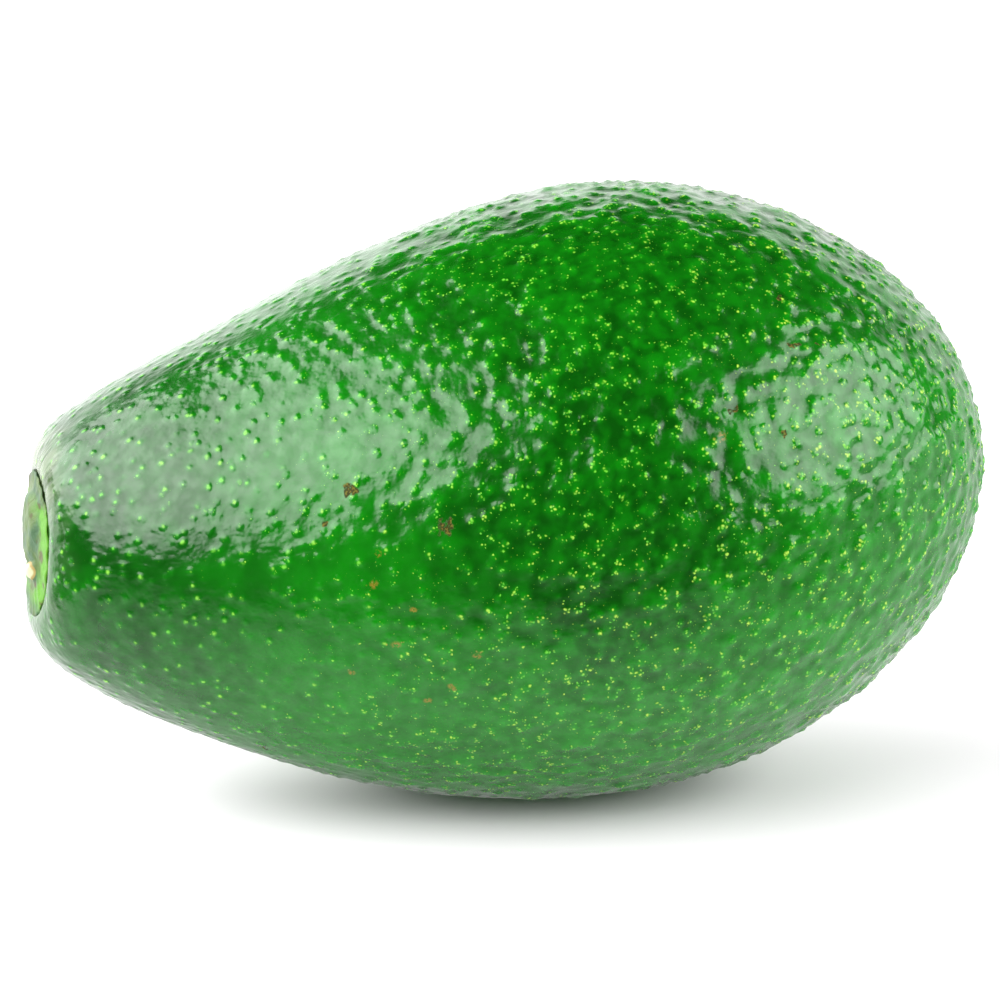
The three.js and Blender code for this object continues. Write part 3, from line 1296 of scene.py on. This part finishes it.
@dataclass(frozen=True)
class StemFinish:
    """Dull green stem with a lime collar, brown creases and one pale torn spot.

    Attributes:
        face: colour of the boss and of the outer lobes, its dull grey-green partly a painted reflection of
            the bright surround.
        teal: cooler tone mottled into the face.
        collar: lime colour of the collar, the green as it looks in the groove's shade.
        brown: colour of the creases and specks.
        torn: colour of the torn spot.
        torn_edge: colour of the torn spot's edge.
        roughness: of the stem.
        gloss: how strongly it mirrors.
        jitter: size and reach of the jitter that makes the edges ragged.
        fresh: radii between which the collar's lime starts.
        shaded_lime_top: heights over the rim's centre between which the lime ends upwards, keeping it to the
            collar's shaded middle.
        shaded_lime_foot: heights between which it ends downwards.
        mottle_cell: size of the mottling.
        mottle: values of the mottling where the face turns teal.
        speck_cell: size of the brown specks.
        specks: how brown they are over noise.
        marks: how brown a mark is, over the distance to it.
        crack_cell: size of the cracks, as a share of the radius.
        cracks: values of noise where a crack starts and is full.
        crack_radii: how brown the cracks are over the radius.
        torn_weights: of the coordinates, for the torn spot's outline.
        torn_edges: radii where the torn spot's edge starts and is full.
        torn_radii: radii where the torn spot itself starts and is full.
        grain_cell: size of the stem's grain.
        bump_height: full height of the grain.
    """

    face: Colour = (0.075, 0.125, 0.035, 1.0)
    teal: Colour = (0.045, 0.1, 0.045, 1.0)
    collar: Colour = (0.075, 0.24, 0.009, 1.0)
    brown: Colour = (0.06, 0.035, 0.014, 1.0)
    torn: Colour = (0.48, 0.5, 0.3, 1.0)
    torn_edge: Colour = (0.3, 0.22, 0.07, 1.0)
    roughness: float = 0.45
    gloss: float = 0.3
    jitter: Point2 = (1.1 * MM, 1.8 * MM)
    fresh: Point2 = (4.6 * MM, 6.8 * MM)
    shaded_lime_top: Point2 = (6.0 * MM, 4.4 * MM)
    shaded_lime_foot: Point2 = (-7.6 * MM, -5.0 * MM)
    mottle_cell: float = 2.2 * MM
    mottle: Point2 = (0.4, 0.62)
    speck_cell: float = 1.3 * MM
    specks: Ramp = (0.6, 0.7, 0.0, 0.6)
    marks: Ramp = (1.1, 0.4, 0.0, 0.8)
    crack_cell: float = 0.22
    cracks: Point2 = (0.57, 0.68)
    crack_radii: Ramp = (2.6 * MM, 4.6 * MM, 0.0, 0.55)
    torn_weights: Point3 = (0.0, 1.05, 1.0)
    torn_edges: Point2 = (1.12 * MM, 1.0 * MM)
    torn_radii: Point2 = (0.96 * MM, 0.78 * MM)
    grain_cell: float = 0.7 * MM
    bump_height: float = 0.16 * MM

    def material(self, rim: Vector, torn_place: Point2) -> bpy.types.Material:
        """The stem's material.

        Args:
            rim: centre of the socket's rim.
            torn_place: place of the torn spot, across and above the rim's centre.

        Returns:
            The new material.
        """
        material, graph, shader = new_material("stem_stub")
        place = graph.node("ShaderNodeTexCoord").outputs["Object"]
        from_rim = graph.offset(place, rim, (0.0, 1.0, 1.0))
        ragged = graph.jittered(from_rim, *self.jitter, Seed.STEM)
        reach, height = graph.length(ragged), graph.part(ragged, "Z")
        # Painted shade and reflection: the lime stays at the collar's middle height, in the groove's shade,
        # and the duller face green stands partly for reflection.
        level = graph.times(graph.ramp(height, *self.shaded_lime_top), graph.ramp(height, *self.shaded_lime_foot))
        fresh = graph.times(graph.ramp(reach, *self.fresh), level)
        mottle = graph.ramp(graph.noise(place, self.mottle_cell, Seed.TINT, 3.0), *self.mottle)
        colour = graph.mix(fresh, graph.mix(mottle, self.face, self.teal), self.collar)
        specks = graph.ramp(graph.noise(place, self.speck_cell, Seed.SPECK, 3.0), *self.specks)
        marks = graph.ramp(nearness(graph, ragged, STEM_MARKS), *self.marks)
        cracks = graph.noise(graph.unit(from_rim), self.crack_cell, Seed.STREAK, 2.0)
        cracks = graph.times(graph.ramp(cracks, *self.cracks), graph.ramp(reach, *self.crack_radii))
        colour = graph.mix(graph.most(specks, cracks, marks), colour, self.brown)
        torn = graph.length(graph.offset(from_rim, (0.0, *torn_place), self.torn_weights))
        colour = graph.mix(graph.ramp(torn, *self.torn_edges), colour, self.torn_edge)
        colour = graph.mix(graph.ramp(torn, *self.torn_radii), colour, self.torn)
        graph.feed(shader.inputs["Base Color"], colour)
        graph.feed(shader.inputs["Roughness"], self.roughness)
        graph.feed(shader.inputs["Specular IOR Level"], self.gloss)
        grain = graph.math("SUBTRACT", graph.noise(place, self.grain_cell, Seed.STEM, 4.0), cracks)
        graph.add_bump(shader, grain, self.bump_height)
        return material


@dataclass
class StemButton:
    """The stub of the stem: a low boss in the middle of a flared collar of lobes.

    Heights are measured outwards from the socket's rim.

    Attributes:
        form: the fruit's outline and axis.
        finish: its finish.
        boss_radius: radius of the boss.
        boss_height: height of the boss's face.
        crown: how much higher the middle of the face is.
        boss_flare: how much wider the boss is where it meets the collar.
        boss_bulge: how much wider it is at the handles of its side.
        boss_bevel: how much narrower its face is.
        foot_height: height where the boss meets the collar.
        boss_shift: how far the boss sits above the middle of the collar.
        collar_radius: radius of the collar's edge.
        collar_height: height of the collar's edge.
        collar_tilt: how much higher the collar's edge is at the top than at the middle.
        collar_edge: radius of the rounded edge.
        root_radius: radius of the underside.
        root_bulge: how much wider the root is at the lower handle of its side.
        root_rise: how far under the collar's edge the upper handle is.
        base: height of the underside.
        lobes: how many lobes the collar has.
        notch: how deep the notches between them are, as a share of the radius.
        crease: depth of the creases that run in from the notches.
        lobe_turn: turn of the lobes, in radians.
        torn_place: place of the torn bump, across and above the middle of the rim.
        torn_size: its half-width and half-height.
        torn_height: how far it stands out.
        ridges: how many fine ridges run out over the collar.
        unevenness: height of the ridges and of the bumps on the boss.
        bump_size: size of those bumps, across and up, as the lengths of one radian.
        root_span: depths below the rim between which the root starts, which stays smooth.
        turns: steps round the stem.
    """

    form: FruitForm
    finish: StemFinish = field(default_factory=StemFinish)
    boss_radius: float = 3.5 * MM
    boss_height: float = 0.85 * MM
    crown: float = 0.1 * MM
    boss_flare: float = 1.6 * MM
    boss_bulge: float = 0.6 * MM
    boss_bevel: float = 0.7 * MM
    foot_height: float = 0.1 * MM
    boss_shift: float = 1.7 * MM
    collar_radius: float = 8.2 * MM
    collar_height: float = 0.05 * MM
    collar_tilt: float = 0.15 * MM
    collar_edge: float = 0.15 * MM
    root_radius: float = 5.0 * MM
    root_bulge: float = 1.4 * MM
    root_rise: float = 0.6 * MM
    base: float = -1.5 * MM
    lobes: int = 5
    notch: float = 0.035
    crease: float = 0.35 * MM
    lobe_turn: float = 1.75
    torn_place: Point2 = (-2.95 * MM, -2.6 * MM)
    torn_size: Point2 = (0.8 * MM, 0.95 * MM)
    torn_height: float = 0.95 * MM
    ridges: int = 23
    unevenness: float = 0.07 * MM
    bump_size: Point2 = (0.45 * MM, 0.6 * MM)
    root_span: Point2 = (0.2 * MM, 0.9 * MM)
    turns: int = 160

    def outline(self) -> list[Arc]:
        """The outline, with heights as stations that grow towards -X.

        Returns:
            Its stretches.
        """
        edge_radius = self.collar_radius - self.collar_edge
        edge_height = self.collar_height - self.collar_edge
        kappa = ROUND * self.collar_edge
        rim = self.form.rim_station

        def at(height: float, radius: float) -> Point2:
            """Returns the outline's point at a height and radius."""
            return (rim - height, radius)

        boss_side = self.boss_radius + self.boss_bulge
        boss_foot = at(self.foot_height, self.boss_radius + self.boss_flare)
        boss_face = at(self.boss_height, self.boss_radius - self.boss_bevel)
        return [
            straight(at(self.base, 0), at(self.base, self.root_radius), 8),
            Arc(
                at(self.base, self.root_radius),
                at(self.base, self.root_radius + self.root_bulge),
                at(edge_height - self.root_rise, edge_radius),
                at(edge_height - self.collar_edge, edge_radius),
                10,
            ),
            Arc(
                at(edge_height - self.collar_edge, edge_radius),
                at(edge_height - self.collar_edge, edge_radius + kappa),
                at(edge_height - kappa, self.collar_radius),
                at(edge_height, self.collar_radius),
                5,
            ),
            Arc(
                at(edge_height, self.collar_radius),
                at(edge_height + kappa, self.collar_radius),
                at(self.collar_height, edge_radius + kappa),
                at(self.collar_height, edge_radius),
                5,
            ),
            straight(at(self.collar_height, edge_radius), boss_foot, 16),
            Arc(
                boss_foot,
                at(self.foot_height, boss_side),
                at(self.boss_height - self.crown, boss_side),
                boss_face,
                24,
            ),
            straight(boss_face, at(self.boss_height + self.crown, 0), 22),
        ]

    def lobed(self, places: np.ndarray) -> np.ndarray:
        """Gives the stem a lobed, ridged and tilted collar and a shifted boss.

        Args:
            places: places of the spun stem, one row each.

        Returns:
            The new places.
        """
        radius = np.hypot(places[:, 1], places[:, 2])
        turn = np.arctan2(places[:, 2], places[:, 1])
        collar = smoothstep(radius, self.boss_radius, self.collar_radius)
        notch = 1 - np.abs(np.cos(self.lobes * turn / 2 + self.lobe_turn))
        scale = 1 - self.notch * collar * notch**2
        across = places[:, 1] * scale
        up = places[:, 2] * scale + self.boss_shift * (1 - collar)
        below = places[:, 0] - self.form.rim_station
        outer = 1 - smoothstep(below, *self.root_span)
        height = self.collar_tilt * up / self.collar_radius - self.crease * notch**4 * np.sqrt(collar)
        torn = ((across - self.torn_place[0]) / self.torn_size[0]) ** 4
        torn += ((up - self.torn_place[1]) / self.torn_size[1]) ** 4
        height += self.torn_height * np.exp(-torn)
        height += self.unevenness * collar * np.sin(self.ridges * turn + 1.5 * np.sin(3 * turn))
        bumps = np.sin(across / self.bump_size[0]) * np.sin(up / self.bump_size[1] + 1.0)
        height += self.unevenness * (1 - collar) * bumps
        return np.column_stack([places[:, 0] - height * outer, across, up])

    def build(self, move: Vector) -> bpy.types.Object:
        """Builds the stem's stub.

        Args:
            move: the move from the form's own frame to the CAD frame.

        Returns:
            The stub.
        """
        stem = spun("avocado_stem_button", self.outline(), self.turns)
        places = self.form.recessed(self.lobed(places_of(stem)))
        _, way = self.form.axis(np.zeros(1))
        slope = math.atan2(way[0, 1], way[0, 0])
        turned = np.column_stack([
            places[:, 0] * math.cos(slope) - places[:, 2] * math.sin(slope),
            places[:, 1],
            places[:, 0] * math.sin(slope) + places[:, 2] * math.cos(slope),
        ])
        set_places(stem, turned + np.array(move))
        rim = Vector((self.form.rim_station, 0.0, 0.0)) + move
        stem.data.materials.append(self.finish.material(rim, self.torn_place))
        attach(stem, "root")
        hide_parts("stem_button")
        return stem


# ---------------------------------------------------------------------------------------------
# Studio
# ---------------------------------------------------------------------------------------------


@dataclass(frozen=True)
class SoftBox:
    """A soft rectangular light.

    Attributes:
        name: its name.
        direction: from the fruit towards the light.
        distance: from the fruit.
        width: its level side.
        height: its other side.
        radiance: how bright its face is, where 1 is white.
    """

    name: str
    direction: Point3
    distance: float
    width: float
    height: float
    radiance: float


@dataclass
class Studio:
    """Camera, floor, soft lights and the bright surround.

    "Aside" is a length to the camera's right, and "behind" is one away from it. For the surround
    they are the same parts of a ray's direction.

    Attributes:
        elevation: the camera's height angle.
        azimuth: the camera's turn about Z, negative towards the stem end.
        distance: from the aim to the camera.
        aim: what the camera looks at.
        aim_shift: how far the frame's middle is moved from it, to the left and down.
        frame_width: what the frame spans at the aim.
        sensor: the camera's sensor width, in millimetres.
        lights: the soft boxes.
        fall_off: brightness of a soft box from its middle to its edge.
        floor_size: side of the floor.
        floor_colour: its colour.
        floor_roughness: its roughness.
        table_size: side of the mirrored floor.
        table_height: its height, just under the floor.
        table_glow: how bright it is aside.
        table_edge: where behind it starts in front of the fruit.
        gap_aside: where aside it ends beyond the stem end.
        gap_behind: where behind that gap is.
        contact_weights: of the coordinates, for the shadow at the contact.
        contact: brightness over the weighted distance from the contact.
        glow_start_right: where behind the surround's glow starts, aside, on the right.
        glow_start_left: the same on the left.
        glow_full: where behind it is full.
        glow_top: heights between which it ends.
        glow: how bright it is aside.
        fill_behind: strength of the light for matt surfaces only, behind.
        fill_aside: factor on that light, aside.
    """

    elevation: float = math.radians(15.0)
    azimuth: float = math.radians(-11.0)
    distance: float = 0.8
    aim: Point3 = (0.0, 0.0, 34 * MM)
    aim_shift: Point2 = (0.6 * MM, 0.37 * MM)
    frame_width: float = 113.3 * MM
    sensor: float = 36.0
    lights: tuple[SoftBox, ...] = (
        SoftBox("left_soft_box", (-0.82, -0.05, 0.594), 0.5, 1.1, 0.51, 6.0),
        SoftBox("right_soft_box", (0.8, -0.4, 0.37), 0.5, 0.56, 0.38, 4.8),
    )
    fall_off: Ramp = (0.1, 0.5, 1.12, 0.8)
    floor_size: float = 30.0
    floor_colour: Colour = (0.81, 0.78, 0.81, 1.0)
    floor_roughness: float = 0.9
    table_size: float = 6.0
    table_height: float = -0.2 * MM
    table_glow: Ramp = (0.12, -0.3, 1.1, 2.3)
    table_edge: Point2 = (-0.13, -0.01)
    gap_aside: Point2 = (-0.115, -0.145)
    gap_behind: Point2 = (0.04, 0.01)
    contact_weights: Point3 = (1 / 48, 1 / 30, 0.0)
    contact: Ramp = (0.4 * MM, 1.3 * MM, 0.3, 1.0)
    glow_start_right: Ramp = (-0.2, 0.5, 0.15, 0.5)
    glow_start_left: Ramp = (-0.1, -0.5, 0.15, 0.42)
    glow_full: float = 0.7
    glow_top: Point2 = (0.6, 0.38)
    glow: Ramp = (-0.8, 0.8, 2.4, 1.3)
    fill_behind: Ramp = (-0.6, 0.8, 0.28, 0.9)
    fill_aside: Ramp = (-0.8, 0.8, 0.6, 1.65)

    def heading(self) -> tuple[Vector, Vector]:
        """Returns the level directions to the camera's right and away from it."""
        right = Vector((math.cos(self.azimuth), math.sin(self.azimuth), 0.0))
        return right, Vector((-right.y, right.x, 0.0))

    def aside_and_behind(self, graph: Graph, place: Value) -> tuple[Value, Value]:
        """Returns how far a place lies to the camera's right and away from it."""
        right, back = self.heading()
        return graph.reach_along(place, right), graph.reach_along(place, back)

    def add_camera(self) -> bpy.types.Object:
        """Adds the scene's camera.

        Returns:
            The camera.
        """
        right, back = self.heading()
        sight = (back * math.cos(self.elevation) - Vector((0, 0, math.sin(self.elevation)))).normalized()
        up = right.cross(sight)
        aim = Vector(self.aim) - right * self.aim_shift[0] - up * self.aim_shift[1]
        data = bpy.data.cameras.new("camera")
        data.sensor_width = self.sensor
        data.lens = self.sensor * self.distance / self.frame_width
        data.clip_start = 0.01
        camera = bpy.data.objects.new("camera", data)
        camera.location = aim - sight * self.distance
        camera.rotation_euler = sight.to_track_quat("-Z", "Y").to_euler()
        bpy.context.collection.objects.link(camera)
        bpy.context.scene.camera = camera
        return camera

    def add_light(self, box: SoftBox) -> bpy.types.Object:
        """Adds one soft box.

        Args:
            box: the soft box.

        Returns:
            The light, which the camera itself doesn't see.
        """
        data = bpy.data.lights.new(box.name, "AREA")
        data.shape = "RECTANGLE"
        data.size = box.width
        data.size_y = box.height
        data.energy = box.radiance * math.pi * box.width * box.height
        light = bpy.data.objects.new(box.name, data)
        direction = Vector(box.direction).normalized()
        light.location = Vector(self.aim) + direction * box.distance
        light.rotation_euler = direction.to_track_quat("Z", "Y").to_euler()
        light.visible_camera = False
        data.use_nodes = True
        graph = Graph(data.node_tree)
        spot = graph.node("ShaderNodeNewGeometry").outputs["Parametric"]
        offset = graph.vector("ABSOLUTE", graph.vector("SUBTRACT", spot, (0.5, 0.5, 0.0)), ORIGIN)
        outward = graph.most(graph.part(offset, "X"), graph.part(offset, "Y"))
        strength = graph.ramp(outward, *self.fall_off)
        graph.feed(data.node_tree.nodes["Emission"].inputs["Strength"], strength)
        bpy.context.collection.objects.link(light)
        return light

    def add_plane(
        self, name: str, size: float, height: float, material: bpy.types.Material
    ) -> bpy.types.Object:
        """Adds a level plane under the fruit.

        Args:
            name: its name.
            size: its side.
            height: its height.
            material: its material.

        Returns:
            The plane.
        """
        bpy.ops.object.select_all(action="DESELECT")
        bpy.ops.mesh.primitive_plane_add(size=size, location=(0, 0, height))
        plane = bpy.context.object
        plane.name = name
        plane.data.materials.append(material)
        return plane

    def add_floor(self) -> bpy.types.Object:
        """Adds the plain white floor.

        Returns:
            The floor, which the skin doesn't mirror.
        """
        material, graph, shader = new_material("floor")
        graph.feed(shader.inputs["Base Color"], self.floor_colour)
        graph.feed(shader.inputs["Roughness"], self.floor_roughness)
        graph.feed(shader.inputs["Specular IOR Level"], 0.0)
        floor = self.add_plane("floor", self.floor_size, 0.0, material)
        floor.visible_glossy = False
        return floor

    def add_mirrored_floor(self) -> bpy.types.Object:
        """Adds the floor as only the skin's reflections see it: a bright table top that ends in
        front of the fruit, brighter towards the big soft box and shadowed at the contact.

        Returns:
            The mirrored floor.
        """
        material, graph, shader = new_material("mirrored_floor")
        material.node_tree.nodes.remove(shader)
        emission = graph.node("ShaderNodeEmission")
        graph.feed(material.node_tree.nodes["Material Output"].inputs["Surface"], emission.outputs[0])
        place = graph.node("ShaderNodeTexCoord").outputs["Object"]
        aside, behind = self.aside_and_behind(graph, place)
        gap = graph.times(graph.ramp(aside, *self.gap_aside), graph.ramp(behind, *self.gap_behind))
        edge = graph.times(graph.ramp(behind, *self.table_edge), graph.math("SUBTRACT", 1.0, gap))
        from_contact = graph.length(graph.vector("MULTIPLY", place, self.contact_weights))
        contact = graph.ramp(from_contact, *self.contact)
        strength = graph.times(graph.ramp(aside, *self.table_glow), edge, contact)
        graph.feed(emission.inputs["Strength"], strength)
        table = self.add_plane("mirrored_floor", self.table_size, self.table_height, material)
        table.visible_camera = False
        table.visible_diffuse = False
        table.visible_shadow = False
        return table

    def add_surround(self) -> None:
        """Makes the surround: a bright low band behind the fruit that its skin mirrors, and a
        dim even light that only matt surfaces pick up."""
        world = bpy.data.worlds.new("surround")
        world.use_nodes = True
        bpy.context.scene.world = world
        graph = Graph(world.node_tree)
        ray = graph.node("ShaderNodeTexCoord").outputs["Generated"]
        aside, behind = self.aside_and_behind(graph, ray)
        start = graph.most(
            graph.ramp(aside, *self.glow_start_right), graph.ramp(aside, *self.glow_start_left)
        )
        low = graph.ramp(graph.part(ray, "Z"), *self.glow_top)
        band = graph.times(low, graph.ramp(behind, start, self.glow_full))
        glow = graph.times(band, graph.ramp(aside, *self.glow))
        matt = graph.node("ShaderNodeLightPath").outputs["Is Diffuse Ray"]
        fill = graph.times(graph.ramp(behind, *self.fill_behind), graph.ramp(aside, *self.fill_aside))
        background = world.node_tree.nodes["Background"]
        graph.feed(background.inputs["Color"], (1.0, 1.0, 1.0, 1.0))
        graph.feed(background.inputs["Strength"], graph.plus(glow, graph.times(matt, fill)))

    def build(self) -> None:
        """Builds the studio."""
        self.add_camera()
        for box in self.lights:
            self.add_light(box)
        self.add_floor()
        self.add_mirrored_floor()
        self.add_surround()
        bpy.context.scene.view_settings.view_transform = "Standard"


def main() -> None:
    """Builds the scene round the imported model."""
    logging.basicConfig(level=logging.INFO, format="%(name)s: %(message)s")
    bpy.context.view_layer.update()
    form = FruitForm()
    Studio().build()
    skin, move = Skin(form).build()
    LOG.info("skin: %d faces", len(skin.data.polygons))
    stem = StemButton(form).build(move)
    LOG.info("stem button: %d faces", len(stem.data.polygons))


if __name__ == "__main__":
    main()
